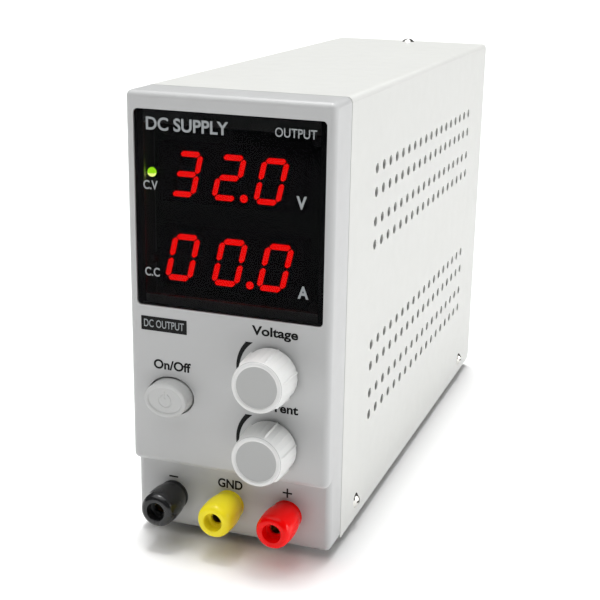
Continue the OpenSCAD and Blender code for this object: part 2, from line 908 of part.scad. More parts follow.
// Capacitors on the output side
module output_capacitors() {
  color([0.15, 0.3, 0.25]) in_case() for (x = [6, 20.5], y = [60, 76]) can(x, y, 6.3, 25);
}

// Finned plates that cool the power transistors
module heat_sinks() {
  color([0.75, 0.76, 0.77]) in_case() {
    heat_sink(1, 112, 186);
    heat_sink(-1, 50, 104);
  }
}

// One finned plate on side s
module heat_sink(s, y0, y1) {
  top = main_top + sink_height;
  scale([s, 1, 1]) {
    block(27, 27 + sink_plate, y0, y1, main_top, top);
    for (y = [y0 : 6 : y1 - 1.5])
      block(27 + sink_plate - eps, 33.6, y, y + 1.4, main_top, top);
  }
}

// Flat power transistors clamped to the plates, with three leads each
module transistors() {
  color([0.1, 0.1, 0.1]) in_case()
    for (p = [[1, 114], [1, 134], [-1, 54], [-1, 80]]) scale([p[0], 1, 1]) {
      block(22, 27, p[1], p[1] + 16, 34, 55);
      for (y = [3, 8, 13]) block(24, 24.7, p[1] + y - 0.6, p[1] + y + 0.6, main_top, 34.1);
    }
}

// Ring chokes of the mains filter and of the output
module toroid_chokes() {
  color([0.75, 0.45, 0.15]) in_case() {
    choke(-14, 186, 9, 4);
    choke(-11, 75, 6.5, 3.5);
  }
}

// Ring standing on the main board with its axis along Y
module choke(x, y, ring, wire) {
  translate([x, y, main_top + ring + wire]) rotate([90, 0, 0])
    rotate_extrude() translate([ring, 0]) circle(r = wire);
}

// ---- rear ----

// Mains inlet with the pocket for the cord set and the slot for the fuse drawer
module mains_inlet() {
  back = case_depth + inlet_flange;
  inside = case_depth - inlet_deep;
  color([0.1, 0.1, 0.11]) in_case() difference() {
    union() {
      block(-inlet_half, inlet_half, inside, case_depth, inlet_floor, inlet_top);
      plate_y(case_depth, back) translate([0, inlet_z]) {
        round_rect(30, 36, 2);
        round_rect(50, 12, 5.9);
      }
    }
    plate_y(back - 18, back + 1) translate([0, cavity_z]) inlet_outline(12.1, 8.3, 4);
    block(-11.6, 11.6, back - 24, back + 1, drawer_z - 3.7, drawer_z + 3.7);
    for (s = [-1, 1]) rod_y(s * inlet_screw_x, inlet_z, case_depth - 1, back + 1, 1.6);
    for (p = pin_places)
      block(p[0] - 2, p[0] + 2, inside - 1, back - 17, cavity_z + p[1] - 1,
        cavity_z + p[1] + 1);
  }
}

// Middle of each contact, relative to the middle of the pocket
pin_places = [[-7, -2], [7, -2], [0, 2]];

// Pocket outline: a rectangle with its two upper corners cut off
module inlet_outline(a, b, cut) {
  polygon([[-a, -b], [a, -b], [a, b - cut], [a - cut, b], [-a + cut, b], [-a, b - cut]]);
}

// Contacts of the inlet, with tabs for the mains leads
module inlet_pins() {
  inside = case_depth - inlet_deep;
  color([0.8, 0.72, 0.45]) in_case() for (p = pin_places) translate([p[0], 0, cavity_z + p[1]]) {
    block(-2, 2, inside, case_depth + inlet_flange - 4, -1, 1);
    block(-2, 2, inside - 7, inside + eps, -0.4, 0.4);
  }
}

// Drawer that holds the fuse and slides out to the rear
module fuse_drawer() {
  back = case_depth + inlet_flange;
  color([0.13, 0.13, 0.14]) in_case() difference() {
    union() {
      block(-11.3, 11.3, back - 23, back + 0.3, drawer_z - 3.4, drawer_z + 3.4);
      block(-12.4, 12.4, back + 0.25, back + 1.5, drawer_z - 4.3, drawer_z + 4.3);
    }
    block(-10, 10, back - 21.5, back - 2, drawer_z - 2.2, drawer_z + 4);
    block(-3, 3, back + 0.9, back + 2, drawer_z - 4.4, drawer_z - 2.4);
  }
}

// Glass tube fuse lying in the drawer
module fuse() {
  color([0.8, 0.8, 0.75]) in_case() {
    rod_x(case_depth - 8, drawer_z + 0.4, -9.9, -4.6, 2.6);
    rod_x(case_depth - 8, drawer_z + 0.4, 4.6, 9.9, 2.6);
    rod_x(case_depth - 8, drawer_z + 0.4, -4.7, 4.7, 2.3);
  }
}

// Square frame with the hub carrier on its inner side
module fan_frame() {
  color([0.12, 0.12, 0.13]) in_case() difference() {
    union() {
      difference() {
        plate_y(fan_front, rear_inside) translate([0, fan_z])
          round_rect(fan_size, fan_size, 4);
        rod_y(0, fan_z, fan_front - 1, rear_inside + 1, fan_bore);
      }
      rod_y(0, fan_z, fan_front, fan_front + 2, 13.5);
      for (a = [45 : 90 : 315]) translate([0, fan_front, fan_z]) rotate([0, a, 0])
        block(12, fan_bore + 1, 0, 2, -1.6, 1.6);
    }
    for (sx = [-1, 1], sz = [-1, 1])
      rod_y(sx * fan_screw, fan_z + sz * fan_screw, fan_front - 1, rear_inside + 1, 2);
    rod_y(0, fan_z, fan_front - 1, fan_front + 3, 1.6);
  }
}

// Hub with seven pitched blades and its short axle
module fan_rotor() {
  color([0.16, 0.16, 0.17]) in_case() intersection() {
    translate([0, 0, fan_z]) {
      rod_y(0, 0, fan_front + 3, rear_inside - 2, 12.8);
      rod_y(0, 0, fan_front + 0.3, fan_front + 3.1, 1.5);
      for (i = [0 : 6]) rotate([0, i * 360 / 7, 0])
        translate([11, (fan_front + rear_inside) / 2 + 0.6, 0]) rotate([38, 0, 0])
          block(0, 20, -9.5, 9.5, -0.7, 0.7);
    }
    rod_y(0, fan_z, fan_front + 0.2, rear_inside - 1.5, fan_bore - 1);
  }
}

// Wire rings and struts in front of the blades, with an eye under each fan screw
module fan_guard() {
  wire = 0.8;
  strut_y = case_depth + wire + 0.05;
  ring_y = strut_y + 1.5 * wire;
  color([0.8, 0.8, 0.8]) in_case() difference() {
    union() {
      for (r = [7, 13, 19, 25])
        translate([0, ring_y, fan_z]) rotate([-90, 0, 0])
          rotate_extrude() translate([r, 0]) circle(r = wire);
      for (a = [45 : 90 : 315]) translate([0, strut_y, fan_z]) rotate([0, a, 0])
        rod_x(0, 0, 6, fan_screw * sqrt(2) - 2.8, wire);
      for (sx = [-1, 1], sz = [-1, 1])
        rod_y(sx * fan_screw, fan_z + sz * fan_screw, case_depth, case_depth + 1.6, 3.6);
    }
    for (sx = [-1, 1], sz = [-1, 1])
      rod_y(sx * fan_screw, fan_z + sz * fan_screw, case_depth - 1, case_depth + 3, 2.1);
  }
}

// Mains voltage selector, a plate with a recessed slot
module selector_switch() {
  back = case_depth + 1.2;
  color([0.1, 0.1, 0.11]) in_case() difference() {
    union() {
      block(-11, 11, case_depth - 12, case_depth, selector_z - 5.5, selector_z + 5.5);
      plate_y(case_depth, back) translate([0, selector_z]) round_rect(35, 13, 2);
    }
    block(-8, 8, back - 5, back + 1, selector_z - 3.2, selector_z + 3.2);
    for (s = [-1, 1]) rod_y(s * selector_screw_x, selector_z, case_depth - 1, back + 1, 1.6);
  }
}

// Sliding actuator of the selector, with a slot for a screwdriver tip
module selector_slider() {
  back = case_depth + 1.2;
  color([0.8, 0.15, 0.1]) in_case() difference() {
    block(-7.8, 0.6, back - 4.9, back - 0.6, selector_z - 3.05, selector_z + 3.05);
    block(-4.1, -3.1, back - 1.8, back, selector_z - 2.2, selector_z + 2.2);
  }
}

// ---- wiring ----

// Three leads from the solder lugs and three from the inlet tabs, to the main board
module power_leads() {
  tag_y = first_nut + post_nut_thick + lug_thick + 0.9;
  tab_y = case_depth - inlet_deep - 7;
  color([0.3, 0.3, 0.32]) in_case() {
    for (x = post_x)
      lead([[x, tag_y, post_z - 7], [x, tag_y + 4, post_z - 7.2], [x * 0.9, 22, post_z - 6],
        [x * 0.8, 28, post_z - 2], [x * 0.7, 34, post_z + 3], [x * 0.6, 40, post_z + 3],
        [x * 0.6, 43, post_z + 0.5], [x * 0.6, 43, main_top]], 1.2);
    for (tab = pin_places) {
      z = cavity_z + tab[1];
      lead([[tab[0], tab_y, z], [tab[0], tab_y - 2, z], [tab[0], tab_y - 3.5, z - 0.6],
        [tab[0], tab_y - 4, z - 2], [tab[0], tab_y - 4, main_top]], 1.1);
    }
  }
}

// Flat cables from the display board and the control board down to the main board
module ribbon_cables() {
  color([0.6, 0.6, 0.62]) in_case() {
    ribbon(-11, [[display_board_y + board_thick, 96], [22, 96], [34, 84], [36, 40],
      [43, 24], [43, main_top]]);
    ribbon(-24, [[control_board_y + board_thick, 40], [32, 40], [37, 36], [43, 26],
      [43, main_top]]);
  }
}

// Flat strip 8 wide and 0.9 thick through points given as depth and height
module ribbon(x, path) {
  n = len(path);
  side = function (i)
    let (d = path[min(i + 1, n - 1)] - path[max(i - 1, 0)])
    [-d[1], d[0]] / norm(d) * 0.45;
  translate([x, 0, 0]) rotate([90, 0, 90]) linear_extrude(8)
    polygon(concat([for (i = [0 : n - 1]) path[i] + side(i)],
      [for (i = [n - 1 : -1 : 0]) path[i] - side(i)]));
}

// ---- output ----

chassis();
cover();
front_bezel();
display_window();
display_board();
control_board();
voltage_display();
current_display();
voltage_segments();
current_segments();
cv_lamp();
cc_lamp();
power_button();
power_switch();
voltage_knob();
current_knob();
voltage_shaft();
current_shaft();
voltage_pot();
current_pot();
pot_nuts();
negative_cap();
negative_washer();
negative_stud();
negative_collar();
ground_cap();
ground_washer();
ground_stud();
ground_collar();
positive_cap();
positive_washer();
positive_stud();
positive_collar();
post_nuts();
solder_lugs();
cover_screws();
bezel_screws();
feet();
main_board();
board_standoffs();
board_screws();
transformer_core();
transformer_winding();
bulk_capacitors();
output_capacitors();
heat_sinks();
transistors();
toroid_chokes();
mains_inlet();
inlet_pins();
fuse_drawer();
fan_frame();
fan_rotor();
fan_guard();
rear_screws();
selector_switch();
selector_slider();
fuse();
power_leads();
ribbon_cables();
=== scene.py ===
"""Looks of the bench power supply: finishes, moulded details, printing, floor, light and camera."""

import math

import bmesh
import bpy
from mathutils import Matrix, Vector


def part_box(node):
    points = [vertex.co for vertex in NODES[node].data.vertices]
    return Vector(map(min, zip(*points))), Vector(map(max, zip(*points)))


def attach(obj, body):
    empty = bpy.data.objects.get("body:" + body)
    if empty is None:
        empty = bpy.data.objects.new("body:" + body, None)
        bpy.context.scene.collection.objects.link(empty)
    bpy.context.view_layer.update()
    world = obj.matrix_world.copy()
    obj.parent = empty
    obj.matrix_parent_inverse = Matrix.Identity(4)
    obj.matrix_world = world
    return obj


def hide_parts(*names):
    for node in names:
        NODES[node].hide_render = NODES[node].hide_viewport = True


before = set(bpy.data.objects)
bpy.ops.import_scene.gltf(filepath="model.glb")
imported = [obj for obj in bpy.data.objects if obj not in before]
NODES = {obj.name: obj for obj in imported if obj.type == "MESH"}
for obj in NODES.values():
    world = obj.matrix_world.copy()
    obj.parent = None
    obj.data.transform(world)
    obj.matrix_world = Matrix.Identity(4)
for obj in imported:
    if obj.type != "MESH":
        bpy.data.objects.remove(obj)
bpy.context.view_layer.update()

MM = 0.001
BEZEL_LOW, BEZEL_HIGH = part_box("front_bezel")
ORIGIN = Vector(((BEZEL_LOW.x + BEZEL_HIGH.x) / 2, BEZEL_LOW.y, BEZEL_LOW.z))


def at(x, y, z):
    """Case millimetres (x from the middle, y from the front face, z from the case floor) to metres."""
    return ORIGIN + Vector((x, y, z)) * MM


def case_box(node):
    """Lowest and highest corner of a CAD node in case millimetres."""
    low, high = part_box(node)
    return (low - ORIGIN) / MM, (high - ORIGIN) / MM


def centre(low, high):
    """Middle of a box seen from the front, as x and z."""
    return (low.x + high.x) / 2, (low.z + high.z) / 2


# ---- finishes ----

# noise sizes in cycles per metre: slow colour change, and patches of gloss
SLOW_SCALE = 28.0
PATCH_SCALE = 160.0


def node_maker(material):
    """Returns a function that adds a node of a type, with inputs set by name or number."""
    tree = material.node_tree

    def add(kind, inputs=(), **settings):
        node = tree.nodes.new("ShaderNode" + kind)
        for key, value in settings.items():
            setattr(node, key, value)
        for key, value in dict(inputs).items():
            if isinstance(value, bpy.types.NodeSocket):
                tree.links.new(value, node.inputs[key])
            else:
                node.inputs[key].default_value = value
        return node

    return add


def shade(colour, factor):
    """A linear colour made lighter or darker, with alpha 1."""
    return (*[min(1.0, c * factor) for c in colour[:3]], 1.0)


def finish(
    name,
    colour,
    roughness,
    metallic=0.0,
    grain=0.5,
    depth=0.004,
    mottle=0.03,
    spread=0.05,
    stretch=(1, 1, 1),
    **sockets,
):
    """A surface with fine grain (size and depth in mm), slow colour change and uneven gloss."""
    material = bpy.data.materials.new(name)
    material.use_nodes = True
    tree = material.node_tree
    shader = tree.nodes["Principled BSDF"]
    add = node_maker(material)
    where = add("TexCoord").outputs["Object"]
    scaled = add("Mapping", {"Vector": where, "Scale": stretch}).outputs["Vector"]
    fine = add("TexNoise", {"Vector": scaled, "Scale": 1 / (grain * MM), "Detail": 3.0})
    slow = add("TexNoise", {"Vector": where, "Scale": SLOW_SCALE, "Detail": 4.0})
    patchy = add("TexNoise", {"Vector": scaled, "Scale": PATCH_SCALE, "Detail": 3.0})
    tint = add(
        "Mix",
        {0: slow.outputs["Fac"], 6: shade(colour, 1 - mottle), 7: shade(colour, 1 + mottle)},
        data_type="RGBA",
    )
    gloss = add(
        "MapRange",
        {
            "Value": patchy.outputs["Fac"],
            "From Min": 0.3,
            "From Max": 0.7,
            "To Min": max(0.02, roughness - spread),
            "To Max": min(1.0, roughness + spread),
        },
    )
    bump = add("Bump", {"Height": fine.outputs["Fac"], "Strength": 1.0, "Distance": depth * MM})
    tree.links.new(tint.outputs[2], shader.inputs["Base Color"])
    tree.links.new(gloss.outputs["Result"], shader.inputs["Roughness"])
    tree.links.new(bump.outputs["Normal"], shader.inputs["Normal"])
    shader.inputs["Metallic"].default_value = metallic
    for key, value in sockets.items():
        shader.inputs[key.replace("_", " ").title().replace("Ior", "IOR")].default_value = value
    return material


def glow(name, colour, strength):
    """A lit part: even emission under a smooth lens surface."""
    material = finish(name, shade(colour, 0.5), 0.35, depth=0.001, spread=0.02)
    shader = material.node_tree.nodes["Principled BSDF"]
    shader.inputs["Emission Color"].default_value = shade(colour, 1)
    shader.inputs["Emission Strength"].default_value = strength
    return material


COVER = finish("powder_coat", (0.60, 0.605, 0.585), 0.5, grain=0.7, depth=0.012, mottle=0.012)
CHASSIS = finish("chassis_coat", (0.5, 0.505, 0.49), 0.5, grain=0.7, depth=0.012, mottle=0.015)
BEZEL = finish("bezel_plastic", (0.475, 0.48, 0.48), 0.42, grain=0.35, depth=0.006, mottle=0.01)
CONTROL = finish("control_plastic", (0.70, 0.705, 0.695), 0.4, grain=0.3, depth=0.004, mottle=0.01)
# darker copy of control_plastic for the knob's front face: painted shade standing for the weaker light
# on front-facing surfaces
PAINTED_SHADE_KNOB_FACE = finish("knob_face_painted_shade", (0.41, 0.415, 0.41), 0.45, grain=0.3, depth=0.004, mottle=0.01)
BUTTON = finish("button_plastic", (0.50, 0.505, 0.50), 0.4, grain=0.3, depth=0.004, mottle=0.01)
SMOKED = finish(
    "smoked_acrylic",
    (0.002, 0.002, 0.0025),
    0.08,
    depth=0.0005,
    spread=0.02,
    alpha=0.72,
    specular_ior_level=0.03,
)


def post_plastic(name, colour, roughness, shine):
    """Glossy moulded plastic of a binding post."""
    return finish(name, colour, roughness, grain=0.6, depth=0.003, specular_ior_level=shine)


BLACK_POST = post_plastic("black_post", (0.010, 0.010, 0.011), 0.25, 0.45)
YELLOW_POST = post_plastic("yellow_post", (0.90, 0.76, 0.02), 0.2, 0.22)
RED_POST = post_plastic("red_post", (0.90, 0.001, 0.001), 0.2, 0.18)
BLACK_PLASTIC = finish("black_plastic", (0.014, 0.014, 0.015), 0.5, grain=0.3, depth=0.008)
HOUSING = finish("display_housing", (0.004, 0.004, 0.0045), 0.6, depth=0.004, specular_ior_level=0.15)
BOARD = finish("solder_mask", (0.01, 0.08, 0.03), 0.35, grain=1.2, depth=0.006, mottle=0.1)
RUBBER = finish("foot_rubber", (0.01, 0.01, 0.01), 0.85, grain=0.5, depth=0.02)
NICKEL = finish("nickel_plate", (0.70, 0.69, 0.66), 0.22, 1.0, grain=0.9, depth=0.002, spread=0.06)
ZINC = finish("zinc_plate", (0.55, 0.56, 0.55), 0.38, 1.0, grain=0.4, depth=0.004, spread=0.1)
BRASS = finish("brass", (0.62, 0.46, 0.20), 0.3, 1.0, grain=0.4, depth=0.003, spread=0.08)
ALUMINIUM = finish(
    "aluminium", (0.62, 0.63, 0.64), 0.35, 1.0, grain=0.4, depth=0.004, stretch=(1, 1, 0.05)
)
FERRITE = finish("ferrite", (0.03, 0.03, 0.032), 0.7, grain=0.3, depth=0.01)
COIL_TAPE = finish("coil_tape", (0.75, 0.5, 0.03), 0.35, grain=2.0, depth=0.03, stretch=(0.2, 0.2, 1))
SLEEVE = finish("capacitor_sleeve", (0.008, 0.015, 0.07), 0.3, grain=3.0, depth=0.01)
SMALL_SLEEVE = finish("small_capacitor_sleeve", (0.008, 0.05, 0.03), 0.3, grain=3.0, depth=0.01)
EPOXY = finish("transistor_epoxy", (0.012, 0.012, 0.012), 0.6, grain=0.25, depth=0.006)
COPPER_WIRE = finish(
    "enamelled_wire", (0.45, 0.12, 0.02), 0.3, grain=0.9, depth=0.1, stretch=(1, 0.2, 1)
)
GLASS = finish("fuse_glass", (0.8, 0.82, 0.8), 0.08, depth=0.001, alpha=0.45)
SLIDER_RED = finish("slider_red", (0.45, 0.012, 0.01), 0.45, grain=0.3, depth=0.006)
LEAD = finish("lead_insulation", (0.06, 0.06, 0.07), 0.45, grain=0.5, depth=0.006)
RIBBON = finish(
    "ribbon_insulation", (0.28, 0.28, 0.3), 0.4, grain=1.27, depth=0.08, stretch=(1, 0.02, 0.02)
)
BLACK_INK = finish("black_ink", (0.006, 0.006, 0.006), 0.6, depth=0.002, specular_ior_level=0.15)
GREY_INK = finish("grey_ink", (0.30, 0.32, 0.33), 0.5, depth=0.002)
LIT_RED = glow("lit_red", (1.0, 0.003, 0.002), 9.5)
DARK_BAR = finish("unlit_bar", (0.006, 0.001, 0.001), 0.5, depth=0.002)
LIT_GREEN = glow("lit_green", (0.42, 1.0, 0.01), 9.0)
LAMP_CORE = glow("lit_green_core", (0.85, 1.0, 0.25), 13.0)
CLEAR_DARK = finish("unlit_lamp", (0.035, 0.033, 0.033), 0.25, depth=0.001)

CAD_FINISH = {
    COVER: ["cover"],
    CHASSIS: ["chassis"],
    BEZEL: ["front_bezel"],
    BOARD: ["display_board", "control_board", "main_board"],
    HOUSING: ["voltage_display", "current_display"],
    BLACK_PLASTIC: [
        "power_switch",
        "mains_inlet",
        "fuse_drawer",
        "selector_switch",
        "fan_frame",
        "fan_rotor",
    ],
    NICKEL: ["cover_screws", "rear_screws", "fan_guard", "inlet_pins", "solder_lugs"],
    ZINC: ["pot_nuts", "post_nuts", "bezel_screws", "board_screws", "voltage_pot", "current_pot"],
    BRASS: ["board_standoffs", "negative_stud", "ground_stud", "positive_stud"],
    ALUMINIUM: ["voltage_shaft", "current_shaft", "heat_sinks"],
    RUBBER: ["feet"],
    FERRITE: ["transformer_core"],
    COIL_TAPE: ["transformer_winding"],
    SLEEVE: ["bulk_capacitors"],
    SMALL_SLEEVE: ["output_capacitors"],
    EPOXY: ["transistors"],
    COPPER_WIRE: ["toroid_chokes"],
    GLASS: ["fuse"],
    SLIDER_RED: ["selector_slider"],
    LEAD: ["power_leads"],
    RIBBON: ["ribbon_cables"],
    BLACK_POST: ["negative_washer", "negative_collar"],
    YELLOW_POST: ["ground_washer", "ground_collar"],
    RED_POST: ["positive_washer", "positive_collar"],
}
for material, names in CAD_FINISH.items():
    for name in names:
        slots = NODES[name].data.materials
        slots.clear()
        slots.append(material)


def soften(node, width, segments=2):
    """Gives a CAD node's sharp edges a small radius, in mm, so that they catch the light."""
    obj = NODES[node]
    weld = obj.modifiers.new("weld", "WELD")
    weld.merge_threshold = 0.002 * MM
    flat = obj.modifiers.new("flat", "DECIMATE")
    flat.decimate_type = "DISSOLVE"
    flat.angle_limit = math.radians(0.5)
    bevel = obj.modifiers.new("bevel", "BEVEL")
    bevel.width = width * MM
    bevel.segments = segments
    bevel.limit_method = "ANGLE"
    bevel.angle_limit = math.radians(38)
    bevel.harden_normals = False


# ---- mesh building ----


def skin(bm, rings):
    """Joins closed rings of points, in case millimetres, into one surface."""
    rows = [[bm.verts.new(at(*point)) for point in ring] for ring in rings]
    for near, far in zip(rows, rows[1:]):
        count = len(near)
        for i in range(count):
            j = (i + 1) % count
            bm.faces.new((near[i], near[j], far[j], far[i]))


def piece(name, bm, materials, body="case", replaces=(), sharp=38):
    """Makes a smooth-shaded object from a bmesh, riding on a body and standing for CAD nodes."""
    bmesh.ops.remove_doubles(bm, verts=bm.verts, dist=0.001 * MM)
    bmesh.ops.recalc_face_normals(bm, faces=bm.faces)
    limit = math.radians(sharp)
    for face in bm.faces:
        face.smooth = True
    for edge in bm.edges:
        edge.smooth = len(edge.link_faces) == 2 and edge.calc_face_angle(0) < limit
    mesh = bpy.data.meshes.new(name)
    bm.to_mesh(mesh)
    bm.free()
    obj = bpy.data.objects.new(name, mesh)
    bpy.context.scene.collection.objects.link(obj)
    for material in materials:
        mesh.materials.append(material)
    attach(obj, body)
    if replaces:
        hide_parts(*replaces)
    return obj


def arc(cx, cy, rx, ry, start, end, steps):
    """Points of an elliptic arc between two angles in degrees."""
    angles = [math.radians(start + (end - start) * i / steps) for i in range(steps + 1)]
    return [(cx + rx * math.cos(a), cy + ry * math.sin(a)) for a in angles]


def turned(bm, x, z, profile, steps=96):
    """Surface of revolution about an axis along Y; the profile is (radius, y)."""
    angles = [2 * math.pi * i / steps for i in range(steps)]
    rings = [
        [(x + r * math.cos(a), y, z + r * math.sin(a)) for a in angles] for r, y in profile
    ]
    skin(bm, rings)


def round_outline(width, height, radius, inset=0.0, steps=8):
    """Rectangle with round corners, centred, as points (x, z)."""
    r = radius - inset
    a = width / 2 - radius
    b = height / 2 - radius
    points = []
    for sx, sz, start in ((1, 1, 0), (-1, 1, 90), (-1, -1, 180), (1, -1, 270)):
        points += arc(sx * a, sz * b, r, r, start, start + 90, steps)
    return points


def slab(bm, outline, x, z, y0, y1, edge, steps=3):
    """Plate with softened front and back edges; outline(inset) gives its points (x, z)."""
    quarter = [math.pi / 2 * i / steps for i in range(steps + 1)]
    depths = [(edge - edge * math.sin(t), y0 + edge - edge * math.cos(t)) for t in quarter]
    back = [(inset, y1 + y0 - y) for inset, y in reversed(depths)]
    rings = [[(x + px, y, z + pz) for px, pz in outline(inset)] for inset, y in depths + back]
    skin(bm, rings)
    bm.verts.ensure_lookup_table()
    count = len(rings[0])
    total = len(bm.verts)
    first = total - count * len(rings)
    bm.faces.new([bm.verts[first + i] for i in range(count)])
    bm.faces.new([bm.verts[total - count + i] for i in range(count)])


def extruded(bm, points, x, z, y0, y1):
    """Flat outline (x, z) given depth, with both ends closed."""
    front = [bm.verts.new(at(x + px, y0, z + pz)) for px, pz in points]
    back = [bm.verts.new(at(x + px, y1, z + pz)) for px, pz in points]
    bm.faces.new(front)
    bm.faces.new(back)
    for i in range(len(points)):
        j = (i + 1) % len(points)
        bm.faces.new((front[i], front[j], back[j], back[i]))
    bm.faces.index_update()


# ---- knobs ----

# counts and rib direction (degrees from upright); rise and half width of a ridge in mm
KNOB_RIBS = 6
KNOB_FLUTES = 24
KNOB_FIRST_RIB = 16
RIB_RISE = 0.48
RIB_HALF_WIDTH = 0.55
FLUTE_RISE = 0.12
FLUTE_HALF_WIDTH = 0.32


def bump_profile(distance, half_width):
    """Height from 0 to 1 of a rounded ridge at a distance from its middle."""
    t = min(1.0, abs(distance) / half_width)
    return (1 - t * t) ** 2


def ridge(turn, count, r, rise, half_width):
    """Rise at an angle, in degrees from the first rib, of evenly spaced ridges at radius r."""
    pitch = 360 / count
    off = (turn + pitch / 2) % pitch - pitch / 2
    return rise * bump_profile(math.radians(off) * r, half_width)


def knob(name, node, body):
    """Ribbed and fluted knob with a rounded rim and a sunk face, darker with painted shade."""
    low, high = case_box(node)
    x, z = centre(low, high)
    front = low.y
    back = high.y
    base = 9.85
    face = 9.2
    edge = 0.9
    lip = 0.5
    sunk = 0.35
    bore = 3.1
    bore_end = front + 3.4
    foot = 0.35
    side_start = back - foot
    side_end = front + edge
    rows = 26
    rib_fade = 9
    profile = [(0, bore_end, 0), (bore, bore_end, 0), (bore, back, 0), (base - foot, back, 0)]
    profile += [(base - 0.1, back - 0.1, 0), (base, side_start, 0.6)]
    for i in range(1, rows + 1):
        t = i / rows
        y = side_start + (side_end - side_start) * t
        profile.append((base + (face - base) * t, y, min(1, (1 - t) * rib_fade)))
    profile += [(r, y, 0) for r, y in arc(face - edge, side_end, edge, -edge, 0, 90, 8)][1:]
    rim = face - edge - lip
    profile += [(rim, front, 0), (rim - 0.12, front + 0.04, 0), (rim - 0.3, front + sunk - 0.04, 0)]
    profile += [(rim - 0.45, front + sunk, 0), (rim - 2, front + sunk, 0), (0, front + sunk, 0)]
    steps = KNOB_FLUTES * 18
    rings = []
    for r, y, ribbed in profile:
        ring = []
        for i in range(steps):
            turn = 360 * i / steps
            past_rib = turn - KNOB_FIRST_RIB
            rise = ridge(past_rib, KNOB_RIBS, r, RIB_RISE, RIB_HALF_WIDTH)
            rise += ridge(past_rib, KNOB_FLUTES, r, FLUTE_RISE, FLUTE_HALF_WIDTH)
            radius = r + rise * ribbed
            angle = math.radians(turn)
            ring.append((x + radius * math.sin(angle), y, z + radius * math.cos(angle)))
        rings.append(ring)
    bm = bmesh.new()
    skin(bm, rings)
    face_start = at(x, front + sunk - 0.02, z).y
    face_end = at(x, front + sunk + 0.02, z).y
    # faces of the sunk front take the second, darker finish: painted shade
    for polygon in bm.faces:
        middle = polygon.calc_center_median()
        polygon.material_index = int(face_start < middle.y < face_end)
    piece(name, bm, [CONTROL, PAINTED_SHADE_KNOB_FACE], body, [node], sharp=50)


knob("voltage_knob_body", "voltage_knob", "voltage_control")
knob("current_knob_body", "current_knob", "current_control")

# ---- binding post caps ----


def post_cap(node, material):
    """Barrel-shaped cap with a round recess in front and a bore through it."""
    low, high = case_box(node)
    x, z = centre(low, high)
    front = low.y
    back = high.y
    length = back - front
    belly = (high.x - low.x) / 2
    middle = back - 0.5 * length
    shoulder = back - 0.8 * length
    lip = 4.2
    recess = 3.4
    floor = front + 3.7
    end = floor + 1.2
    hole = 2.15
    bore = 3.1
    edge = 0.25
    bend = 0.3
    chamfer = 0.2
    taper_back = 0.75
    taper_front = 0.22
    rim = belly - taper_back - edge
    rows = 14
    profile = [(hole, floor + chamfer), (hole, end), (bore, end), (bore, back), (rim, back)]
    profile += arc(rim, back - edge, edge, edge, 90, 0, 4)
    for i in range(1, rows + 1):
        t = 1 - i / rows
        y = back - edge + (middle - back + edge) * (1 - t)
        profile.append((belly - taper_back * t * t, y))
    for i in range(1, rows + 1):
        t = i / rows
        profile.append((belly - taper_front * t * t, middle + (shoulder - middle) * t))
    top = profile[-1][0]
    profile += arc(lip, shoulder, top - lip, front - shoulder, 0, 90, 12)[1:]
    profile += arc(recess + bend, front + bend, -bend, -bend, 90, 0, 5)[1:]
    profile += [(recess, floor - bend)]
    profile += arc(recess - bend, floor - bend, bend, bend, 0, 90, 4)[1:]
    profile += [(hole + chamfer, floor), (hole, floor + chamfer)]
    bm = bmesh.new()
    turned(bm, x, z, profile, steps=128)
    name = node.replace("_cap", "")
    piece(name + "_post_cap", bm, [material], node, [node])


for slot_name, node_name, post_finish in (
    ("black_post", "negative_cap", BLACK_POST),
    ("yellow_post", "ground_cap", YELLOW_POST),
    ("red_post", "positive_cap", RED_POST),
):
    post_cap(node_name, post_finish)

# ---- power button ----


def smooth_step(value, low, high):
    """Smooth rise from 0 at low to 1 at high."""
    t = max(0.0, min(1.0, (value - low) / (high - low)))
    return t * t * (3 - 2 * t)


def sign_depth(x, z):
    """Depth from 0 to 1 of the on and off sign, an open ring with an upright bar."""
    ring_radius = 2.35
    gap_edges = (0.75, 0.95)
    stroke = (0.22, 0.40)
    bar_middle = 2.0
    bar_half = 1.1
    ring = 1 - smooth_step(abs(math.hypot(x, z) - ring_radius), *stroke)
    if z > 0:
        ring *= smooth_step(abs(x), *gap_edges)
    reach = max(abs(x) - 0.02, abs(z - bar_middle) - bar_half)
    bar = 1 - smooth_step(reach, *stroke)
    return max(ring, bar)


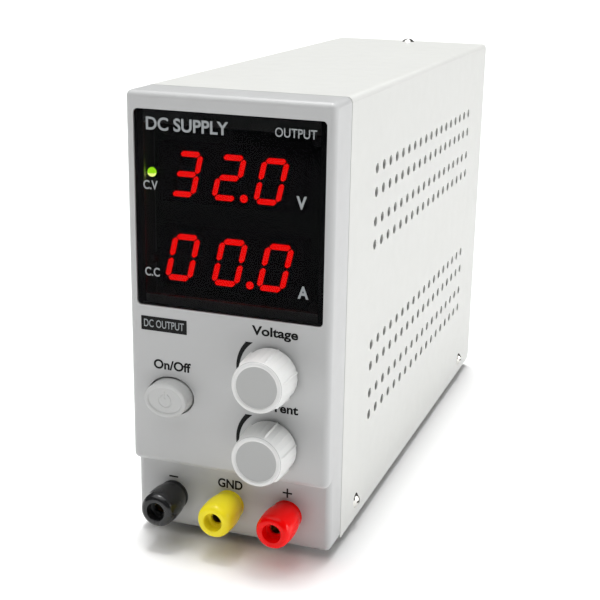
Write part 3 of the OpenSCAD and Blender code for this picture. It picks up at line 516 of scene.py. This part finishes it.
def power_button():
    """Oval button with a raised rim, a sunk face with the sign pressed in, and a round stem."""
    low, high = case_box("power_button")
    flange = 1.2
    x, z = centre(low, high)
    a = (high.x - low.x) / 2 - flange
    b = (high.z - low.z) / 2 - flange
    front = low.y
    seat = 2.9
    edge = 0.6
    rim = 0.75
    sunk = 0.3
    stem = 2.5
    socket = 1.5
    socket_end = 13.9
    flange_back = seat + 1.2
    draft = 0.2
    sign_rise = 0.16
    rows = 70
    steps = 256
    angles = [2 * math.pi * i / steps for i in range(steps)]

    def oval(grow, y):
        return [(x + (a + grow) * math.cos(t), y, z + (b + grow) * math.sin(t)) for t in angles]

    def round_ring(r, y):
        return [(x + r * math.cos(t), y, z + r * math.sin(t)) for t in angles]

    stem_profile = ((0, high.y), (socket, high.y), (socket, socket_end), (stem, socket_end))
    rings = [round_ring(r, y) for r, y in stem_profile]
    rings += [round_ring(stem, flange_back), oval(flange, flange_back), oval(flange, seat)]
    rings += [oval(0, seat), oval(-0.05, 0), oval(-draft, front + edge)]
    bend = arc(0, front + edge, edge, -edge, 0, 90, 7)[1:]
    rings += [oval(-draft - edge + grow, y) for grow, y in bend]
    inner = -draft - edge - rim
    rings += [oval(inner, front), oval(inner - 0.1, front + 0.05)]
    face = inner - 0.4
    rings += [oval(inner - 0.25, front + sunk - 0.05), oval(face, front + sunk)]
    for i in range(1, rows + 1):
        t = 1 - i / rows
        ring = []
        for angle in angles:
            u = (a + face) * t * math.cos(angle)
            v = (b + face) * t * math.sin(angle)
            ring.append((x + u, front + sunk + sign_rise * sign_depth(u, v), z + v))
        rings.append(ring)
    bm = bmesh.new()
    skin(bm, rings)
    piece("power_button_cap", bm, [BUTTON], "button", ["power_button"], 50)


power_button()

# ---- window and display ----


def window():
    """Smoked pane with round corners and softened edges."""
    low, high = case_box("display_window")
    corner = 1.4
    edge = 0.25
    bm = bmesh.new()
    width = high.x - low.x
    height = high.z - low.z

    def outline(inset):
        return round_outline(width, height, corner, inset)

    slab(bm, outline, *centre(low, high), low.y, high.y, edge)
    piece("display_window_pane", bm, [SMOKED], "case", ["display_window"])


window()

# lean of the digits; width, flat and upright bar thickness as shares of the digit's height
DIGIT_LEAN = math.tan(math.radians(13))
DIGIT_WIDTH = 0.605
FLAT_BAR = 0.118
UPRIGHT_BAR = 0.112
POINT_RADIUS = 1.35
DIGIT_BARS = {"0": "abcdef", "2": "abged", "3": "abgcd"}


def rounded(points, radius, steps=3):
    """Rounds the corners of a convex outline."""
    result = []
    for i, corner in enumerate(points):
        before = (Vector(points[i - 1]) - Vector(corner)).normalized()
        after = (Vector(points[(i + 1) % len(points)]) - Vector(corner)).normalized()
        start = Vector(corner) + before * radius
        end = Vector(corner) + after * radius
        for k in range(steps + 1):
            t = k / steps
            result.append(start * (1 - t) ** 2 + Vector(corner) * 2 * t * (1 - t) + end * t * t)
    return result


def bar_outline(start, end, thick, gap=0.48):
    """Bar with blunt pointed ends between two corners of the upright digit."""
    start = Vector(start)
    end = Vector(end)
    along = (end - start).normalized()
    across = Vector((-along.y, along.x))
    half = thick / 2
    p = start + along * gap
    q = end - along * gap
    nose = half * 0.72
    blunt = across * nose * 0.25
    corner = 0.16
    points = [
        p + blunt,
        p + along * nose + across * half,
        q - along * nose + across * half,
        q + blunt,
        q - blunt,
        q - along * nose - across * half,
        p + along * nose - across * half,
        p - blunt,
    ]
    return [(v.x + v.y * DIGIT_LEAN, v.y) for v in rounded(points, corner)]


def display_row(node, digits, point, height, name):
    """Digits given as (character, x), and the decimal point, seated on the module's front."""
    low, high = case_box(node)
    z = centre(low, high)[1]
    thick_h = FLAT_BAR * height
    thick_v = UPRIGHT_BAR * height
    half_w = (DIGIT_WIDTH * height - thick_v) / 2
    half_h = (height - thick_h) / 2
    corners = {
        "a": ((-half_w, half_h), (half_w, half_h)),
        "b": ((half_w, half_h), (half_w, 0)),
        "c": ((half_w, 0), (half_w, -half_h)),
        "d": ((-half_w, -half_h), (half_w, -half_h)),
        "e": ((-half_w, 0), (-half_w, -half_h)),
        "f": ((-half_w, half_h), (-half_w, 0)),
        "g": ((-half_w, 0), (half_w, 0)),
    }
    bm = bmesh.new()
    lit_faces = set()
    for character, x in digits:
        for key, (start, end) in corners.items():
            thick = thick_h if key in "adg" else thick_v
            points = bar_outline(start, end, thick)
            count = len(bm.faces)
            extruded(bm, points, x, z, low.y, high.y)
            if key in DIGIT_BARS[character]:
                lit_faces.update(range(count, len(bm.faces)))
    count = len(bm.faces)
    extruded(bm, arc(0, 0, POINT_RADIUS, POINT_RADIUS, 0, 350, 35), *point, low.y, high.y)
    lit_faces.update(range(count, len(bm.faces)))
    bm.faces.ensure_lookup_table()
    for face in bm.faces:
        face.material_index = 0 if face.index in lit_faces else 1
    piece(name, bm, [LIT_RED, DARK_BAR], "case", [node])


# left and right of each strip of the black border behind the pane, its height range and its depth
BORDER_STRIPS = [(-34.1, -31.9), (31.8, 34.1)]
BORDER_BOTTOM = 86
BORDER_TOP = 153.6
BORDER_FRONT = 2.2
BORDER_BACK = 2.24


def window_border():
    """Black printing that hides the bezel's ledge at both sides of the window."""
    bm = bmesh.new()
    for left, right in BORDER_STRIPS:
        flat = [(left, BORDER_BOTTOM), (right, BORDER_BOTTOM), (right, BORDER_TOP), (left, BORDER_TOP)]
        extruded(bm, flat, 0, 0, BORDER_FRONT, BORDER_BACK)
    piece("window_border", bm, [HOUSING], "case", sharp=20)


window_border()
display_row(
    "voltage_segments", (("3", -17.0), ("2", -1.3), ("0", 13.9)), (4.1, 125.5), 15.8, "voltage_digits"
)
display_row(
    "current_segments", (("0", -18.7), ("0", -1.1), ("0", 15.6)), (6.4, 95.6), 16.8, "current_digits"
)


def lamp(node, materials, name):
    """Domed lamp: the second material covers the lower half of the dome, the third its body."""
    low, high = case_box(node)
    x, z = centre(low, high)
    flange = (high.x - low.x) / 2
    r = flange - 0.3
    tip = low.y
    flange_front = high.y - 1
    profile = arc(0, tip + r, r, -r, 90, 0, 10) + [(r, flange_front), (flange, flange_front)]
    profile += [(flange, high.y), (0, high.y)]
    bm = bmesh.new()
    turned(bm, x, z, profile, steps=48)
    bright = at(x, tip + 0.8 * r, z - 0.15 * r)
    dome_end = at(x, tip + r, z).y
    for face in bm.faces:
        middle = face.calc_center_median()
        if middle.y > dome_end:
            face.material_index = 2
        else:
            face.material_index = int(middle.y < bright.y and middle.z < bright.z)
    piece(name, bm, materials, "case", [node])


lamp("cv_lamp", [LIT_GREEN, LAMP_CORE, HOUSING], "cv_lamp_lens")
lamp("cc_lamp", [CLEAR_DARK, CLEAR_DARK, HOUSING], "cc_lamp_lens")

# ---- printing ----

# printing stands out by its depth and reaches a little into the surface under it
INK_DEPTH = 0.04
INK_SINK = 0.02
# plane of the recessed panel with the binding posts
POST_PLANE = 4


def text_mesh(text, bold):
    """Mesh of a word in the built-in font, one unit high capitals, in its own plane."""
    curve = bpy.data.curves.new("word", "FONT")
    curve.body = text
    curve.offset = bold
    curve.resolution_u = 6
    obj = bpy.data.objects.new("word", curve)
    bpy.context.scene.collection.objects.link(obj)
    bpy.context.view_layer.update()
    mesh = obj.to_mesh()
    bm = bmesh.new()
    bm.from_mesh(mesh)
    obj.to_mesh_clear()
    bpy.data.objects.remove(obj)
    bpy.data.curves.remove(curve)
    return bm


CAPITAL = max(v.co.y for v in text_mesh("H", 0).verts)


def printed(words, y, material, name):
    """Printed words on a plane; each is (text, left x, baseline z, capital height, width, bold)."""
    whole = bmesh.new()
    for text, x, z, capital, width, bold in words:
        bm = text_mesh(text, bold)
        left = min(v.co.x for v in bm.verts)
        right = max(v.co.x for v in bm.verts)
        stretch = width / (right - left)
        rise = capital / CAPITAL
        bmesh.ops.remove_doubles(bm, verts=bm.verts, dist=1e-5)
        for vert in bm.verts:
            vert.co = at(x + (vert.co.x - left) * stretch, y - INK_DEPTH, z + vert.co.y * rise)
        solid = bmesh.ops.extrude_face_region(bm, geom=bm.faces[:])
        for item in solid["geom"]:
            if isinstance(item, bmesh.types.BMVert):
                item.co.y += (INK_DEPTH + INK_SINK) * MM
        mesh = bpy.data.meshes.new("word")
        bm.to_mesh(mesh)
        bm.free()
        whole.from_mesh(mesh)
        bpy.data.meshes.remove(mesh)
    piece(name, whole, [material], sharp=20)


FACE_BOLD = 0.03
printed(
    [
        ("Voltage", 9.0, 79.8, 3.1, 16.8, FACE_BOLD),
        ("Current", 9.5, 52.7, 3.1, 16.8, FACE_BOLD),
        ("On/Off", -28.4, 62.4, 3.2, 14.4, FACE_BOLD),
    ],
    0,
    BLACK_INK,
    "face_labels",
)
printed([("GND", -5.5, 18.6, 3.2, 9.6, FACE_BOLD)], POST_PLANE, BLACK_INK, "post_label")
WINDOW_FRONT = case_box("display_window")[0].y
printed(
    [
        ("DC SUPPLY", -29.8, 147.2, 4.1, 30.0, 0.022),
        ("OUTPUT", 16.6, 148.0, 2.9, 14.4, 0.008),
        ("C.V", -31.2, 126.8, 2.9, 5.4, 0.02),
        ("C.C", -31.2, 96.2, 2.9, 5.6, 0.02),
        ("V", 24.3, 124.9, 4.0, 3.6, 0.03),
        ("A", 25.3, 94.5, 4.0, 3.8, 0.03),
    ],
    WINDOW_FRONT,
    GREY_INK,
    "window_labels",
)


def flat_mark(bm, points, y):
    """Printed shape on a plane, in case millimetres."""
    extruded(bm, points, 0, 0, y - INK_DEPTH, y + INK_SINK)


def scale_band(bm, x, z):
    """Widening arc left of a knob, cut level at its top."""
    rise = 10
    cut = z + rise
    start = 222
    end = 128
    outer_radius = 12.9
    outer_growth = 1.3
    inner_radius = 12.3
    inner_growth = 0.1
    # radii where the level cut meets each side
    outer_cut = 14.3
    inner_cut = 12.45
    steps = 48
    outer = []
    inner = []
    for i in range(steps + 1):
        t = i / steps
        angle = math.radians(start + (end - start) * t)
        sides = ((outer_radius + outer_growth * t, outer), (inner_radius + inner_growth * t, inner))
        for radius, side in sides:
            point = (x + radius * math.cos(angle), z + radius * math.sin(angle))
            if point[1] <= cut:
                side.append(point)
    outer.append((x - math.sqrt(outer_cut**2 - rise**2), cut))
    inner.append((x - math.sqrt(inner_cut**2 - rise**2), cut))
    flat_mark(bm, outer + inner[::-1], 0)


def moved(points, x, z):
    """Points (x, z) shifted to a place."""
    return [(px + x, pz + z) for px, pz in points]


def face_marks():
    """Scale bands of the knobs, set a little off their axes, and the small black plate."""
    band_right = 0.4
    band_up = 0.6
    bm = bmesh.new()
    for node in ("voltage_shaft", "current_shaft"):
        x, z = centre(*case_box(node))
        scale_band(bm, x + band_right, z + band_up)
    flat_mark(bm, moved(round_outline(17.6, 5.2, 0.2, steps=3), -24.2, 78.8), 0)
    piece("face_marks", bm, [BLACK_INK], sharp=20)


face_marks()
printed([("DC OUTPUT", -31.9, 77.5, 2.7, 15.4, 0.006)], -INK_DEPTH, GREY_INK, "plate_label")


def post_marks():
    """The minus and plus signs above the outer posts."""
    reach = 1.8
    half = 0.32
    minus_place = (-23.2, 19.3)
    plus_place = (21.3, 20.6)
    bm = bmesh.new()
    bar = [(-reach, -half), (reach, -half), (reach, half), (-reach, half)]
    flat_mark(bm, moved(bar, *minus_place), POST_PLANE)
    flat_mark(bm, moved(bar, *plus_place), POST_PLANE)
    for sign in (1, -1):
        stem = [(-half, sign * half), (half, sign * half), (half, sign * reach), (-half, sign * reach)]
        flat_mark(bm, moved(stem, *plus_place), POST_PLANE)
    piece("post_marks", bm, [BLACK_INK], sharp=20)


post_marks()

# ---- soft edges on carried-over nodes ----

for soft_node, soft_width in (
    ("front_bezel", 0.3),
    ("cover", 0.15),
    ("chassis", 0.15),
    ("mains_inlet", 0.3),
    ("fuse_drawer", 0.25),
    ("selector_switch", 0.25),
    ("selector_slider", 0.15),
    ("fan_frame", 0.3),
    ("fan_rotor", 0.2),
    ("feet", 0.4),
):
    soften(soft_node, soft_width)

# ---- floor, light and camera ----


def stage():
    """Wide pale floor, in metres."""
    size = 30
    bm = bmesh.new()
    signs = ((-1, -1), (1, -1), (1, 1), (-1, 1))
    bm.faces.new([bm.verts.new((sx * size, sy * size, 0)) for sx, sy in signs])
    mesh = bpy.data.meshes.new("floor")
    bm.to_mesh(mesh)
    bm.free()
    floor = bpy.data.objects.new("floor", mesh)
    bpy.context.scene.collection.objects.link(floor)
    mesh.materials.append(
        finish("floor_paper", (0.93, 0.93, 0.93), 0.9, grain=2, depth=0.002, mottle=0.0, spread=0.02)
    )


def sun(name, toward, strength, spread):
    """Sun whose light comes from a direction, with a wide disc for soft shadows."""
    light = bpy.data.lights.new(name, "SUN")
    light.energy = strength
    light.angle = math.radians(spread)
    obj = bpy.data.objects.new(name, light)
    obj.rotation_euler = Vector(toward).to_track_quat("Z", "Y").to_euler()
    bpy.context.scene.collection.objects.link(obj)


def lights():
    """Three soft suns (high from behind, high from in front, low from the right) and a faint sky."""
    world = bpy.data.worlds.new("studio")
    bpy.context.scene.world = world
    world.use_nodes = True
    background = world.node_tree.nodes["Background"]
    background.inputs["Color"].default_value = (1, 1, 1, 1)
    background.inputs["Strength"].default_value = 0.07
    sun("key_light", (-0.07, 0.13, 1), 2.7, 20)
    sun("front_top_light", (-0.12, -0.14, 1), 2.0, 70)
    sun("side_light", (1, 0.3, 0.08), 2.05, 40)


def camera():
    """Camera at the photo's angle, slightly rolled."""
    data = bpy.data.cameras.new("camera")
    data.sensor_width = 36
    data.lens = 73.46
    obj = bpy.data.objects.new("camera", data)
    azimuth = math.radians(19.76)
    elevation = math.radians(17.01)
    roll = math.radians(0.99)
    back = Vector(
        (
            math.sin(azimuth) * math.cos(elevation),
            -math.cos(azimuth) * math.cos(elevation),
            math.sin(elevation),
        )
    )
    obj.location = (0.15806, -0.47574, 0.21729)
    level = back.to_track_quat("Z", "Y").to_matrix()
    turn = level @ Matrix.Rotation(roll, 3, "Z")
    obj.rotation_euler = turn.to_euler()
    bpy.context.scene.collection.objects.link(obj)
    bpy.context.scene.camera = obj


stage()
lights()
camera()
bpy.context.scene.view_settings.view_transform = "Standard"
